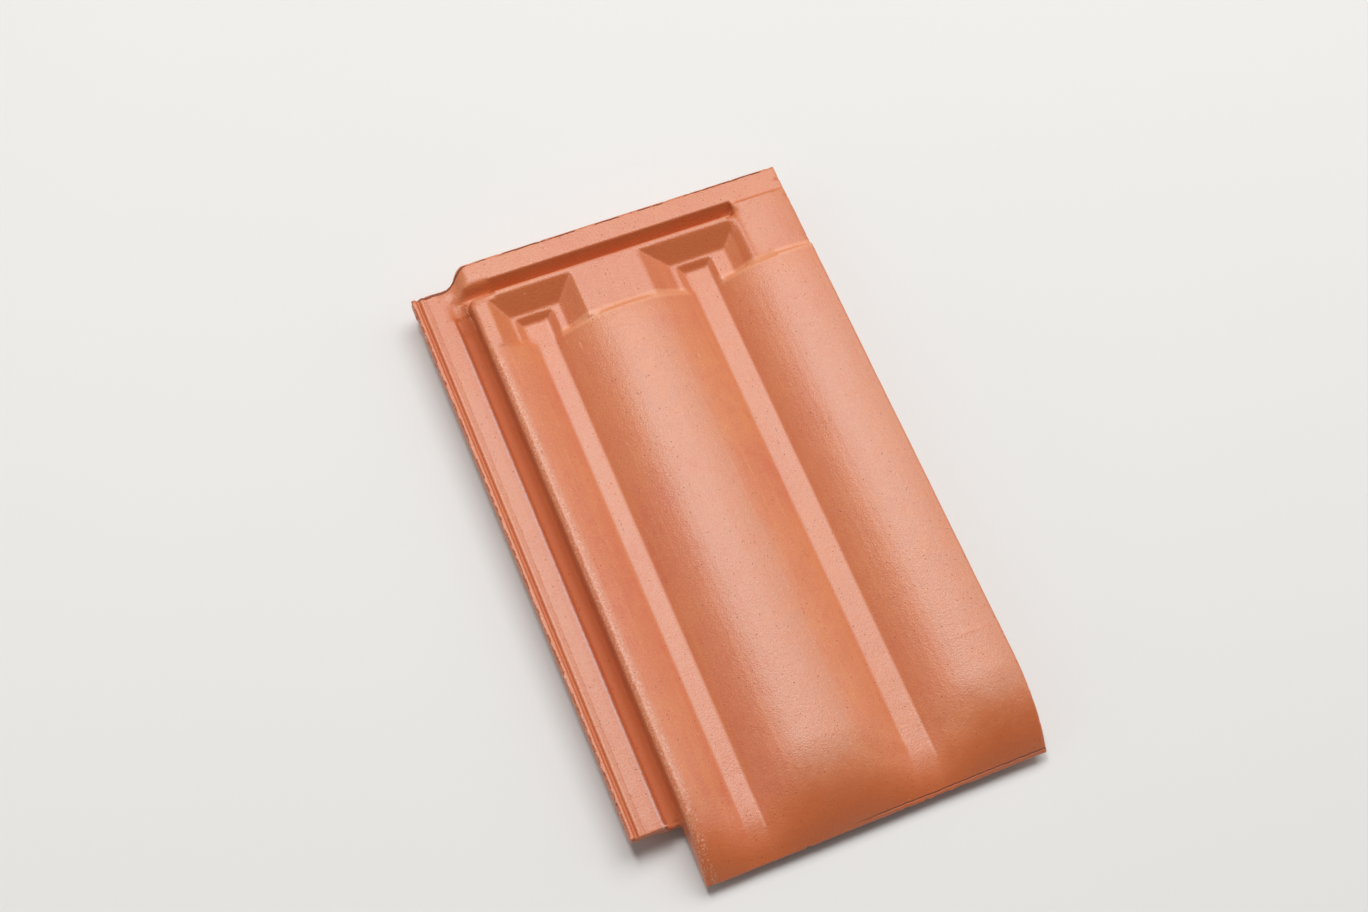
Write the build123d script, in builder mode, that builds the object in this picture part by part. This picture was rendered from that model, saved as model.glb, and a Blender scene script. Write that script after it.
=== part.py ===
from build123d import *
import os
from math import sqrt

# An interlocking pressed clay roof tile, lying weather face up.
# X runs across the tile, Y from its tail (low Y) to its head, Z up.
# The origin is on the floor, under the middle of the tile.
# Sizes are in millimetres. Levels are measured from the face of the two flat strips,
# distances across from the left border, and distances along from the tail edge.

os.makedirs("parts", exist_ok=True)

# Overall
length = 425.0
width = 258.0
wall = 10.0
lug_height = 10.0

# Barrels, and the strips between them
barrel_rise = 18.0
border_past_crest = 18.6
left_panel_width = 32.5
left_strip_width = 12.0
right_strip_width = 15.2
panel_edge_radius = 4.0
border_edge_radius = 2.0
step_radius = 1.6

# Nose at the tail
nose_radius = 72.0
strip_nose_length = 30.0
tail_edge_drop = 10.0
tail_rim_drop = 11.5
tail_rim_width = 13.0
nose_sections = 8
least_rise = 0.3
edge_share = 0.4
point_tolerance = 0.01

# Side lock along the left border, and the hanging rib that the next tile lays in it
lock_width = 33.0
lock_level = 4.0
lock_thickness = 9.0
lock_tail_gap = 39.0
lock_head_gap = 9.0
lock_band_end = 21.5
lock_groove_floor = -3.5
lock_groove_slopes = (3.0, 1.6)
lock_groove_corners = (2.0, 4.0)
lock_groove_ramp = 22.0
hanging_rib_radius = 3.0
fine_grooves = ((4.0, 2.6, 2.4), (8.7, 1.9, 1.5))
fine_groove_taper = 0.45
rib_side_clearance = 0.65
lap_clearance = 1.0

# Head: lip, groove, rib and raised panels
step_from_head = 63.7
panel_level = 15.0
panel_drop = 3.0
panel_edge_rounding = 5.0
panel_side_radius = 3.0
lip_width = 15.0
lip_level = 12.5
lip_slope_run = 6.0
joint_overlap = 2.5
lip_head_radius = 1.2
lip_end_inset = 9.0
lip_end_run = 16.0
corner_curve_lead = 2.0
corner_curve_run = 17.0
head_groove_floor = 3.0
rib_from_head = 26.0
rib_slope_run = 1.6
rib_width = 3.5
right_panel_lead = 29.5
panel_joint_from_head = 18.5
panel_joint_width = 1.4
panel_joint_depth = 1.0

# Stepped head pockets. Each span is how far it reaches past the left and the right side of its strip.
ledge_level = 4.0
pocket_head_run = 13.4
left_pocket = {"mouth": (22.0, 24.0), "ledge": (10.9, 11.3), "well": (8.5, 6.0), "floor": (4.1, 1.1)}
right_pocket = {"mouth": (27.3, 28.5), "ledge": (9.7, 14.3), "well": (5.8, 4.1), "floor": (1.4, 0.0)}
well_from_ledge = 2.2
well_head_run = 4.4

# Underside: hollows, head relief and lugs
hollow_end_draft = 0.5
hollow_head_gap = 7.0
panel_hollow_head_gap = 8.0
hollow_nose_rise = 1.2
head_relief_level = -6.0
head_relief_width = 22.0
batten_lug_width = 24.0
batten_lug_length = 12.0
batten_lug_slope_run = 5.0
batten_from_head = 53.0
eave_lug_size = (13.0, 7.0)
eave_lug_from_tail = 17.0
eave_lug_taper = 14.0

# Places worked out from the sizes above
floor_level = -wall - lug_height
above = barrel_rise + wall
left_strip_start = lock_width + left_panel_width
middle_start = left_strip_start + left_strip_width
barrel_chord = (width - middle_start - right_strip_width - border_past_crest) / 1.5
middle_end = middle_start + barrel_chord
right_start = middle_end + right_strip_width
left_center = left_strip_start - barrel_chord / 2
middle_center = middle_start + barrel_chord / 2
right_center = right_start + barrel_chord / 2
left_strip = (left_strip_start, middle_start)
right_strip = (middle_end, right_start)
right_panel_start = right_start + right_panel_lead
barrel_radius = (barrel_chord**2 / 4 + barrel_rise**2) / (2 * barrel_rise)
hollow_radius = barrel_radius - wall
hollow_half = sqrt(2 * hollow_radius * barrel_rise - barrel_rise**2)
crest_drop = barrel_rise + tail_edge_drop
nose_length = sqrt(2 * nose_radius * crest_drop - crest_drop**2)
strip_nose_radius = (strip_nose_length**2 + tail_edge_drop**2) / (2 * tail_edge_drop)
step_y = length - step_from_head
rib_y = length - rib_from_head
pocket_y = rib_y - rib_width
lip_y = length - lip_width
lip_foot_y = lip_y - lip_slope_run
joint_y = length - panel_joint_from_head
joint_end_y = joint_y + panel_joint_width
groove_floor_start = lock_band_end + lock_groove_slopes[0]
groove_floor_end = lock_width - lock_groove_slopes[1]
groove_ramp_y = lip_foot_y - lock_groove_ramp
hanging_rib_width = groove_floor_end - groove_floor_start - 2 * rib_side_clearance
hanging_rib_start = width - hanging_rib_width
cover_width = width - (groove_floor_end - rib_side_clearance)
lip_end_start = lock_width - lip_end_inset
corner_curve_start = lip_end_start - corner_curve_lead
covered_lip_run = width - cover_width - lip_end_start
lap_level = lock_level + lap_clearance
hanging_rib_level = lock_groove_floor + lap_clearance
nose_roof = barrel_rise - wall + hollow_nose_rise


def at(x, z):
    """A point of a cross-section, from its distance to the left border and its level."""
    return (x - width / 2, z - floor_level)


def across(y):
    """The cross-section plane at a distance from the tail, seen from the tail."""
    return Plane(origin=(0, y - length / 2, 0), x_dir=(1, 0, 0), z_dir=(0, -1, 0))


def along(y, z):
    """A point of a lengthwise section, from its distance to the tail and its level."""
    return (y - length / 2, z - floor_level)


def from_left(x):
    """The lengthwise section plane at a distance from the left border."""
    return Plane.YZ.offset(x - width / 2)


def barrel_height(offset, rise=barrel_rise):
    """The height of a barrel over its strips, at an offset from the middle of its chord."""
    radius = (barrel_chord**2 / 4 + rise**2) / (2 * rise)
    return rise - radius + sqrt(radius**2 - offset**2)


def roll_down(distance, reach, radius):
    """How far a surface that turns down towards the tail has dropped, at a distance from the tail."""
    turned = max(reach - distance, 0)
    return radius - sqrt(radius**2 - turned**2)


def panel_outline(strip, rise, bottom, edge_radius, border_radius):
    """The closed section of the barrels and strips, from the side lock to the right border."""

    def barrel(center, x):
        return at(x, strip + barrel_height(x - center, rise))

    def corner(x, direction, radius, top):
        inset = radius * (1 - sqrt(0.5))
        middle = at(x + direction * inset, top - inset)
        return ThreePointArc(at(x, top - radius), middle, at(x + direction * radius, top))

    left_rest = lock_width + edge_radius
    right_rest = width - border_radius
    left_top = strip + barrel_height(left_rest - left_center, rise)
    right_top = strip + barrel_height(right_rest - right_center, rise)
    spans = (
        (left_center, left_rest, left_strip_start),
        (middle_center, middle_start, middle_end),
        (right_center, right_start, right_rest),
    )
    with BuildLine() as outline:
        corner(lock_width, 1, edge_radius, left_top)
        for center, start, end in spans:
            ThreePointArc(barrel(center, start), barrel(center, (start + end) / 2), barrel(center, end))
        Line(at(left_strip_start, strip), at(middle_start, strip))
        Line(at(middle_end, strip), at(right_start, strip))
        corner(width, -1, border_radius, right_top)
        Polyline(
            at(width, right_top - border_radius),
            at(width, bottom),
            at(lock_width, bottom),
            at(lock_width, left_top - edge_radius),
        )
    return outline.edges()


def hollow_outline(start, end, arc_center, top):
    """The closed section of a hollow under the tile: two upright sides and an arched roof."""

    def roof(x):
        return at(x, top - hollow_radius + sqrt(hollow_radius**2 - (x - arc_center) ** 2))

    with BuildLine() as outline:
        ThreePointArc(roof(start), roof((start + end) / 2), roof(end))
        Polyline(roof(end), at(end, floor_level), at(start, floor_level), roof(start))
    return outline.edges()


def double_curve(start, end):
    """Two equal arcs that leave a point and reach another level with the first axis."""
    middle = ((start[0] + end[0]) / 2, (start[1] + end[1]) / 2)
    with BuildLine() as curve:
        leaving = TangentArc(start, middle, tangent=(1, 0))
        TangentArc(middle, end, tangent=leaving % 1)
    return curve.edges()


def double_curve_rise(distance, run, rise):
    """How far a double curve has risen, at a distance from the end where it leaves the level."""
    radius = (run**2 + rise**2) / (4 * rise)
    if distance < run / 2:
        return radius - sqrt(radius**2 - distance**2)
    remaining = max(run - distance, 0)
    return rise - radius + sqrt(radius**2 - remaining**2)


def block(low, high):
    """The middle and size of a box from its low to its high corner, in distances and levels."""
    middle = [(a + b) / 2 for a, b in zip(low, high)]
    size = [b - a for a, b in zip(low, high)]
    return (middle[0] - width / 2, middle[1] - length / 2, middle[2] - floor_level), size


def runs_along(x, z):
    """A test for the edges that run along the tile at a distance from the left border and a level."""
    place = Vector(*at(x, z))
    return lambda edge: (Vector(edge.center().X, edge.center().Z) - place).length < point_tolerance


def recess_face(strip, reach, head_y, level):
    """A rectangle at one level of a pocket, past both sides of its strip and up to its head wall."""
    start = strip[0] - reach[0]
    end = strip[1] + reach[1]
    with BuildSketch(Plane.XY.offset(level - floor_level)) as face:
        with Locations(((start + end - width) / 2, (step_y + head_y - length) / 2)):
            Rectangle(end - start, head_y - step_y)
    return face.sketch.faces()[0]


# Barrels and strips, straight from the nose to the step below the head
with BuildPart() as barrels:
    with BuildSketch(across(nose_length)):
        make_face(panel_outline(0, barrel_rise, -wall, panel_edge_radius, border_edge_radius))
    extrude(amount=-(step_y - nose_length))
    step_edges = barrels.edges().group_by(Axis.Y)[-1].filter_by(GeomType.CIRCLE)
    fillet(step_edges.sort_by(SortBy.RADIUS)[-3:], step_radius)

# Nose, where barrels and strips turn down together to the tail edge
with BuildPart() as nose:
    for count in range(nose_sections + 1):
        distance = nose_length * (1 - count / nose_sections)
        crest = barrel_rise - roll_down(distance, nose_length, nose_radius)
        strip = -roll_down(distance, strip_nose_length, strip_nose_radius)
        rise = max(crest - strip, least_rise)
        edge_limit = (strip + tail_rim_drop) * edge_share
        edge_radii = [min(radius, edge_limit) for radius in (panel_edge_radius, border_edge_radius)]
        with BuildSketch(across(distance)):
            make_face(panel_outline(strip, rise, -tail_rim_drop, *edge_radii))
    loft()

# Head: raised panels at the level of the rib, with the right one arched like the barrel below it
with BuildPart() as head:
    with BuildSketch(across(step_y)):
        with BuildLine():
            right_side = at(width, barrel_height(width - right_center) - panel_drop)
            right_middle = at(right_center, barrel_rise - panel_drop)
            panel_start = at(right_panel_start, barrel_height(right_panel_start - right_center) - panel_drop)
            ThreePointArc(right_side, right_middle, panel_start)
            Polyline(
                panel_start,
                at(right_panel_start, panel_level),
                at(lock_width, panel_level),
                at(lock_width, -wall),
                at(width, -wall),
                right_side,
            )
        make_face()
    extrude(amount=-(length - step_y))
    fillet(head.edges().filter_by(runs_along(lock_width, panel_level)), panel_side_radius)

# Side lock: the flange that the next tile's border lies over
with BuildPart() as side_lock:
    with BuildSketch(across(lock_tail_gap)):
        with BuildLine():
            Polyline(
                at(0, lock_level - lock_thickness),
                at(0, lock_level),
                at(lock_width, lock_level),
                at(lock_width, -wall),
                at(lock_band_end, -wall),
                at(lock_band_end - (wall - lock_thickness + lock_level), lock_level - lock_thickness),
                close=True,
            )
        make_face()
    extrude(amount=-(length - lock_tail_gap))

# Main groove of the side lock, whose floor rises to the head groove
with BuildPart() as main_groove:
    with BuildSketch(across(lock_tail_gap)) as groove_section:
        with BuildLine():
            Polyline(
                at(lock_band_end, lock_level),
                at(groove_floor_start, lock_groove_floor),
                at(groove_floor_end, lock_groove_floor),
                at(lock_width, lock_level),
                close=True,
            )
        make_face()
        corners = groove_section.vertices().group_by(Axis.Z)[0].sort_by(Axis.X)
        for corner, corner_radius in zip(corners, lock_groove_corners):
            fillet(corner, corner_radius)
    extrude(amount=-(lip_foot_y - lock_tail_gap))
    with BuildSketch(from_left(0)):
        with BuildLine():
            Polyline(
                along(0, above),
                along(0, lock_groove_floor),
                along(groove_ramp_y, lock_groove_floor),
                along(lip_foot_y, head_groove_floor),
                along(lip_foot_y, above),
                close=True,
            )
        make_face()
    extrude(amount=width, mode=Mode.INTERSECT)

# Lip along the head edge, which falls in a double curve to the side lock at its left end
with BuildPart() as lip:
    with BuildSketch(from_left(lip_end_start)) as lip_section:
        with BuildLine():
            Polyline(
                along(lip_y, lip_level),
                along(length, lip_level),
                along(length, head_relief_level),
                along(lip_foot_y, head_relief_level),
                along(lip_foot_y, head_groove_floor),
                close=True,
            )
        make_face()
        head_corner = Vector(*along(length, lip_level))
        fillet(lip_section.vertices().sort_by_distance(head_corner)[0], lip_head_radius)
    extrude(amount=width - lip_end_start)
    with BuildSketch(across(length)):
        with BuildLine():
            foot = at(lip_end_start, lock_level)
            top = at(lip_end_start + lip_end_run, lip_level)
            add(double_curve(foot, top))
            Polyline(top, at(lip_end_start + lip_end_run, above), at(lip_end_start, above), foot)
        make_face()
    extrude(amount=lip_width + lip_slope_run, mode=Mode.SUBTRACT)

    # Beside the right panel the lip runs on to the joint line at the same level
    center, size = block(
        (right_panel_start, joint_end_y, head_groove_floor),
        (width, lip_y + joint_overlap, lip_level),
    )
    with Locations(center):
        Box(*size)

# Hollows under the barrels, closed by the nose at the tail
with BuildPart() as barrel_hollows:
    spans = (
        (lock_width + wall, left_center + hollow_half, left_center),
        (middle_center - hollow_half, middle_center + hollow_half, middle_center),
        (right_center - hollow_half, hanging_rib_start, right_center),
    )
    for start, end, arc_center in spans:
        with BuildSketch(across(0)):
            make_face(hollow_outline(start, end, arc_center, barrel_rise - wall))
        extrude(amount=-step_y)
    with BuildSketch(from_left(0)):
        with BuildLine():
            inner_radius = nose_radius - wall + hollow_nose_rise
            drop = nose_roof - floor_level
            turn_start_y = nose_length - sqrt(2 * inner_radius * drop - drop**2)
            end_y = step_y - hollow_head_gap
            turn = RadiusArc(along(turn_start_y, floor_level), along(nose_length, nose_roof), inner_radius)
            Polyline(
                turn @ 1,
                along(end_y - hollow_end_draft * (nose_roof + wall), nose_roof),
                along(end_y + hollow_end_draft * lug_height, floor_level),
                turn @ 0,
            )
        make_face()
    extrude(amount=width, mode=Mode.INTERSECT)

# Shallower hollows under the head panels, clear of the pockets by the wall
with BuildPart() as panel_hollows:
    left_pocket_end = left_strip[1] + left_pocket["ledge"][1]
    right_pocket_start = right_strip[0] - right_pocket["ledge"][0]
    right_pocket_end = right_strip[1] + right_pocket["ledge"][1]
    spans = (
        (left_pocket_end + wall, right_pocket_start - wall, middle_center),
        (right_pocket_end + wall, hanging_rib_start, right_center),
    )
    for start, end, arc_center in spans:
        with BuildSketch(across(step_y - 2 * hollow_head_gap)):
            make_face(hollow_outline(start, end, arc_center, panel_level - wall))
        extrude(amount=-(pocket_y - step_y + hollow_head_gap))
    with BuildSketch(from_left(0)):
        with BuildLine():
            end_y = pocket_y - panel_hollow_head_gap
            Polyline(
                along(0, above),
                along(end_y - hollow_end_draft * (above + wall), above),
                along(end_y + hollow_end_draft * lug_height, floor_level),
                along(0, floor_level),
                close=True,
            )
        make_face()
    extrude(amount=width, mode=Mode.INTERSECT)

with BuildPart() as roof_tile:
    add(barrels.part)
    add(nose.part)
    add(head.part)
    add(side_lock.part)

    # Room for the lip, with the joint line beside the right panel, and the groove before the rib
    rooms = (
        ((0, lip_y, lock_level), (width, length, above)),
        ((right_panel_start, joint_y, lip_level - panel_joint_depth), (width, lip_y, above)),
    )
    for low, high in rooms:
        center, size = block(low, high)
        with Locations(center):
            Box(*size, mode=Mode.SUBTRACT)
    with BuildSketch(from_left(lock_band_end)):
        with BuildLine():
            Polyline(
                along(lip_y, above),
                along(lip_y, lip_level),
                along(lip_foot_y, head_groove_floor),
                along(rib_y + rib_slope_run, head_groove_floor),
                along(rib_y, panel_level),
                along(rib_y, above),
                close=True,
            )
        make_face()
    extrude(amount=right_panel_start - lock_band_end, mode=Mode.SUBTRACT)

    # Main and fine grooves of the side lock
    add(main_groove.part, mode=Mode.SUBTRACT)
    for groove_x, groove_width, groove_depth in fine_grooves:
        floor_half = groove_width * fine_groove_taper / 2
        with BuildSketch(across(lock_tail_gap)):
            with BuildLine():
                Polyline(
                    at(groove_x - groove_width / 2, lock_level),
                    at(groove_x - floor_half, lock_level - groove_depth),
                    at(groove_x + floor_half, lock_level - groove_depth),
                    at(groove_x + groove_width / 2, lock_level),
                    close=True,
                )
            make_face()
        extrude(amount=-(length - lock_tail_gap), mode=Mode.SUBTRACT)
    add(lip.part)

    # Outline of the head's left corner: the side lock stops short of the lip
    with BuildSketch():
        with BuildLine():
            corner_start = (corner_curve_start - width / 2, length / 2 - lock_head_gap)
            corner_end = (corner_curve_start + corner_curve_run - width / 2, length / 2)
            add(double_curve(corner_start, corner_end))
            outside = ((corner_end[0], length), (-width, length), (-width, corner_start[1]))
            Polyline(corner_end, *outside, corner_start)
        make_face()
    extrude(amount=above - floor_level, mode=Mode.SUBTRACT)

    # Stepped head pockets, which drain to the strips
    for strip, pocket in ((left_strip, left_pocket), (right_strip, right_pocket)):
        ledge_head = pocket_y - pocket_head_run
        well_head = ledge_head - well_from_ledge
        mouth = recess_face(strip, pocket["mouth"], pocket_y, panel_level)
        ledge = recess_face(strip, pocket["ledge"], ledge_head, ledge_level)
        loft([mouth, ledge], mode=Mode.SUBTRACT)
        well = recess_face(strip, pocket["well"], well_head, ledge_level)
        floor = recess_face(strip, pocket["floor"], well_head - well_head_run, 0)
        loft([well, floor], mode=Mode.SUBTRACT)
    pocket_edge = runs_along(right_strip[0] - right_pocket["mouth"][0], panel_level)
    fillet(roof_tile.edges().filter_by(pocket_edge), panel_edge_rounding)

    # Underside: hollows, rim, head relief, and room over the next tile's side lock and lip
    add(barrel_hollows.part, mode=Mode.SUBTRACT)
    add(panel_hollows.part, mode=Mode.SUBTRACT)
    lap_start_y = step_y - hollow_head_gap - hollow_end_draft * (lap_level + wall)
    rib_end_y = groove_ramp_y - lap_clearance
    lip_lap_start_y = lip_foot_y - lap_clearance
    lip_lap_level = lap_level + double_curve_rise(covered_lip_run, lip_end_run, lip_level - lock_level)
    reliefs = (
        ((0, tail_rim_width, floor_level), (width, length, -wall)),
        ((0, length - head_relief_width, floor_level), (width, length, head_relief_level)),
        ((hanging_rib_start, tail_rim_width, floor_level), (width, length, hanging_rib_level)),
        ((hanging_rib_start, rib_end_y, floor_level), (width, length, lap_level)),
        ((cover_width - lap_clearance, lap_start_y, floor_level), (hanging_rib_start, length, lap_level)),
        ((cover_width - lap_clearance, lip_lap_start_y, floor_level), (width, length, lip_lap_level)),
    )
    for low, high in reliefs:
        center, size = block(low, high)
        with Locations(center):
            Box(*size, mode=Mode.SUBTRACT)


    # Rounded outer corner of the hanging rib
    corner_start = width - hanging_rib_radius
    corner_level = hanging_rib_level + hanging_rib_radius
    corner_inset = hanging_rib_radius * (1 - sqrt(0.5))
    with BuildSketch(across(tail_rim_width)):
        with BuildLine():
            ThreePointArc(
                at(corner_start, hanging_rib_level),
                at(width - corner_inset, hanging_rib_level + corner_inset),
                at(width, corner_level),
            )
            Polyline(
                at(width, corner_level),
                at(width + wall, corner_level),
                at(width + wall, floor_level),
                at(corner_start, floor_level),
                at(corner_start, hanging_rib_level),
            )
        make_face()
    extrude(amount=-(rib_end_y - tail_rim_width), mode=Mode.SUBTRACT)

    # Batten lugs, with an upright face towards the tail, and eave lugs for the pockets of the tile below
    batten_y = length - batten_from_head
    for strip in (left_strip, right_strip):
        strip_middle = (strip[0] + strip[1]) / 2
        with BuildSketch(from_left(strip_middle - batten_lug_width / 2)):
            with BuildLine():
                Polyline(
                    along(batten_y, -wall),
                    along(batten_y, floor_level),
                    along(batten_y + batten_lug_length, floor_level),
                    along(batten_y + batten_lug_length + batten_lug_slope_run, -wall),
                    close=True,
                )
            make_face()
        extrude(amount=batten_lug_width)
        with BuildSketch():
            with Locations((strip_middle - width / 2, eave_lug_from_tail - length / 2)):
                Rectangle(*eave_lug_size)
        extrude(amount=lug_height, taper=-eave_lug_taper)

roof_tile.part.label = "roof_tile"
export_step(roof_tile.part, "parts/roof_tile.step")
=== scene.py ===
"""A pressed and fired clay roof tile, lying weather face up on a plain pale studio floor.

Everything is in metres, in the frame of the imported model: X runs across the tile, Y from its tail
to its head, and Z up from the floor. Places on the tile are given as on the maker's drawing:
across from the left border, along from the tail edge, and levels from the face of the two strips.
"""

import logging
from dataclasses import dataclass, field
from enum import Enum
from itertools import product

import bmesh
import bpy
import numpy as np
from mathutils import Matrix, Vector


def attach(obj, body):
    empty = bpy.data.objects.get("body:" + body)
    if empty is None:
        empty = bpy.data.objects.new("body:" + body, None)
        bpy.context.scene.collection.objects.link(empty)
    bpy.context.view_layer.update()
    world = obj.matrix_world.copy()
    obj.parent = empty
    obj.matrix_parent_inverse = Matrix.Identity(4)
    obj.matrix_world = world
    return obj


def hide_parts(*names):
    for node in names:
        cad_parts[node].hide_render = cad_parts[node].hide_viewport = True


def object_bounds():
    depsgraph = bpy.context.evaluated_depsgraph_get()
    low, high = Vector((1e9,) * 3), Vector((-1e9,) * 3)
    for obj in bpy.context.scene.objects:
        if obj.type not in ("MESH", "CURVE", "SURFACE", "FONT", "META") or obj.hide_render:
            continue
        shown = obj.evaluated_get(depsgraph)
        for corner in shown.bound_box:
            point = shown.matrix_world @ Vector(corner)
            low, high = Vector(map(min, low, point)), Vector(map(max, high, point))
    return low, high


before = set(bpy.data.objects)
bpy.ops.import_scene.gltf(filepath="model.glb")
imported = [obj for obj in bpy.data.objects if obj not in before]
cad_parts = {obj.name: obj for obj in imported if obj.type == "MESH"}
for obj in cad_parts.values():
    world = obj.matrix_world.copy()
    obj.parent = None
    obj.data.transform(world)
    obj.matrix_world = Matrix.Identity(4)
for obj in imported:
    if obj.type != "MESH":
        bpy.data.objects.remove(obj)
CAD_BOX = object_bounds()

MM = 0.001
LOG = logging.getLogger("clay_tile")


class Shade:
    """A shader socket that can be used in sums, each of which adds a Math node."""

    def __init__(self, nodes: "Nodes", socket: bpy.types.NodeSocket) -> None:
        """Wraps one output socket.

        Args:
            nodes: The material's nodes, where new ones are added.
            socket: The output socket.
        """
        self.nodes = nodes
        self.socket = socket

    def math(
        self, operation: str, other: "Shade | float | None" = None, swap: bool = False
    ) -> "Shade":
        """Adds one Math node.

        Args:
            operation: The Math node's operation.
            other: The second value, where the operation has one.
            swap: Whether the other value comes first.

        Returns:
            The node's value.
        """
        values = [self] if other is None else [self, other]
        if swap:
            values.reverse()
        return self.nodes.add("ShaderNodeMath", {"operation": operation}, dict(enumerate(values)))

    def __add__(self, other: "Shade | float") -> "Shade":
        """The sum."""
        return self.math("ADD", other)

    def __radd__(self, other: float) -> "Shade":
        """The sum, with a number first."""
        return self.math("ADD", other)

    def __sub__(self, other: "Shade | float") -> "Shade":
        """The difference."""
        return self.math("SUBTRACT", other)

    def __rsub__(self, other: float) -> "Shade":
        """The difference, with a number first."""
        return self.math("SUBTRACT", other, swap=True)

    def __mul__(self, other: "Shade | float") -> "Shade":
        """The product."""
        return self.math("MULTIPLY", other)

    def __rmul__(self, other: float) -> "Shade":
        """The product, with a number first."""
        return self.math("MULTIPLY", other)

    def __abs__(self) -> "Shade":
        """The value without its sign."""
        return self.math("ABSOLUTE")

    def step(self, low: float, high: float) -> "Shade":
        """A smooth step, 0 on the side of low and 1 on the side of high.

        Args:
            low: The value that gives 0.
            high: The value that gives 1, which may be the smaller one.

        Returns:
            The step, from 0 to 1.
        """
        inputs = {"Value": self, "From Min": low, "From Max": high}
        return self.nodes.add("ShaderNodeMapRange", {"interpolation_type": "SMOOTHSTEP"}, inputs)

    def band(self, middle: float, half: float, fade: float) -> "Shade":
        """A band that is 1 within half of its middle and fades to 0 on both sides.

        Args:
            middle: The middle of the band.
            half: Half its width.
            fade: The width of each soft side.

        Returns:
            The band, from 0 to 1.
        """
        return abs(self - middle).step(half + fade, half)

    def toward(self, colour: tuple, share: "Shade | float") -> "Shade":
        """This colour mixed towards another.

        Args:
            colour: The other colour.
            share: How much of it, from 0 to 1.

        Returns:
            The mixed colour.
        """
        return self.nodes.mix(self, colour, share)


class Nodes:
    """The nodes of one material."""

    # A Mix node's sockets for colours, which share their names with those for numbers
    MIX_SHARE = 0
    MIX_FIRST = 6
    MIX_SECOND = 7
    MIX_COLOUR = 2

    def __init__(self, name: str) -> None:
        """Makes a material with an empty node tree.

        Args:
            name: The material's name.
        """
        self.material = bpy.data.materials.new(name)
        self.material.use_nodes = True
        self.tree = self.material.node_tree
        self.tree.nodes.clear()

    def node(
        self, kind: str, settings: dict | None = None, inputs: dict | None = None
    ) -> bpy.types.Node:
        """Adds a node.

        Args:
            kind: The node's type.
            settings: Its properties, which are set first.
            inputs: Values or links of its sockets, by name or number.

        Returns:
            The node.
        """
        node = self.tree.nodes.new(kind)
        for key, value in (settings or {}).items():
            setattr(node, key, value)
        for key, value in (inputs or {}).items():
            if isinstance(value, Shade):
                self.tree.links.new(value.socket, node.inputs[key])
            else:
                node.inputs[key].default_value = value
        return node

    def add(
        self,
        kind: str,
        settings: dict | None = None,
        inputs: dict | None = None,
        out: int | str = 0,
    ) -> Shade:
        """Adds a node and gives one of its outputs.

        Args:
            kind: The node's type.
            settings: Its properties, which are set first.
            inputs: Values or links of its sockets, by name or number.
            out: The output, by name or number.

        Returns:
            The output.
        """
        return Shade(self, self.node(kind, settings, inputs).outputs[out])

    def mix(self, first: Shade | tuple, second: Shade | tuple, share: Shade | float) -> Shade:
        """Mixes two colours.

        Args:
            first: The colour at a share of 0.
            second: The colour at a share of 1.
            share: How much of the second.

        Returns:
            The mixed colour.
        """
        first, second = (
            colour if isinstance(colour, Shade) else (*colour, 1.0) for colour in (first, second)
        )
        inputs = {self.MIX_SHARE: share, self.MIX_FIRST: first, self.MIX_SECOND: second}
        return self.add("ShaderNodeMix", {"data_type": "RGBA"}, inputs, self.MIX_COLOUR)

    def noise(
        self, point: Shade, size: float, detail: float = 3.0, roughness: float = 0.55
    ) -> Shade:
        """Cloudy noise, from 0 to 1.

        Args:
            point: Where it is read.
            size: The size of its features.
            detail: How many finer layers it has.
            roughness: How strong those are.

        Returns:
            The noise.
        """
        inputs = {"Vector": point, "Scale": 1 / size, "Detail": detail, "Roughness": roughness}
        return self.add("ShaderNodeTexNoise", None, inputs)

    def stretched(self, point: Shade, scale: tuple) -> Shade:
        """The point with each axis multiplied, so that a pattern on it is stretched."""
        return self.add("ShaderNodeVectorMath", {"operation": "MULTIPLY"}, {0: point, 1: scale})

    def spots(self, point: Shade, spacing: float, share: float, radius: float) -> Shade:
        """Scattered round spots of unlike size, in some of the cells of a cellular pattern.

        Args:
            point: Where they are read.
            spacing: The size of a cell.
            share: The share of the cells that hold a spot.
            radius: The largest radius, in cells.

        Returns:
            The spots, from 0 to 1.
        """
        cells = self.node("ShaderNodeTexVoronoi", None, {"Vector": point, "Scale": 1 / spacing})
        chance = self.add("ShaderNodeSeparateColor", None, {0: Shade(self, cells.outputs["Color"])})
        reach = chance.step(1 - share, 1.0) * radius - Shade(self, cells.outputs["Distance"])
        return reach.step(0.0, radius * 0.4)

    def finish(self, surface: Shade) -> bpy.types.Material:
        """Ends the tree with its output.

        Args:
            surface: The shader of the surface.

        Returns:
            The material.
        """
        self.node("ShaderNodeOutputMaterial", None, {"Surface": surface})
        return self.material


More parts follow.
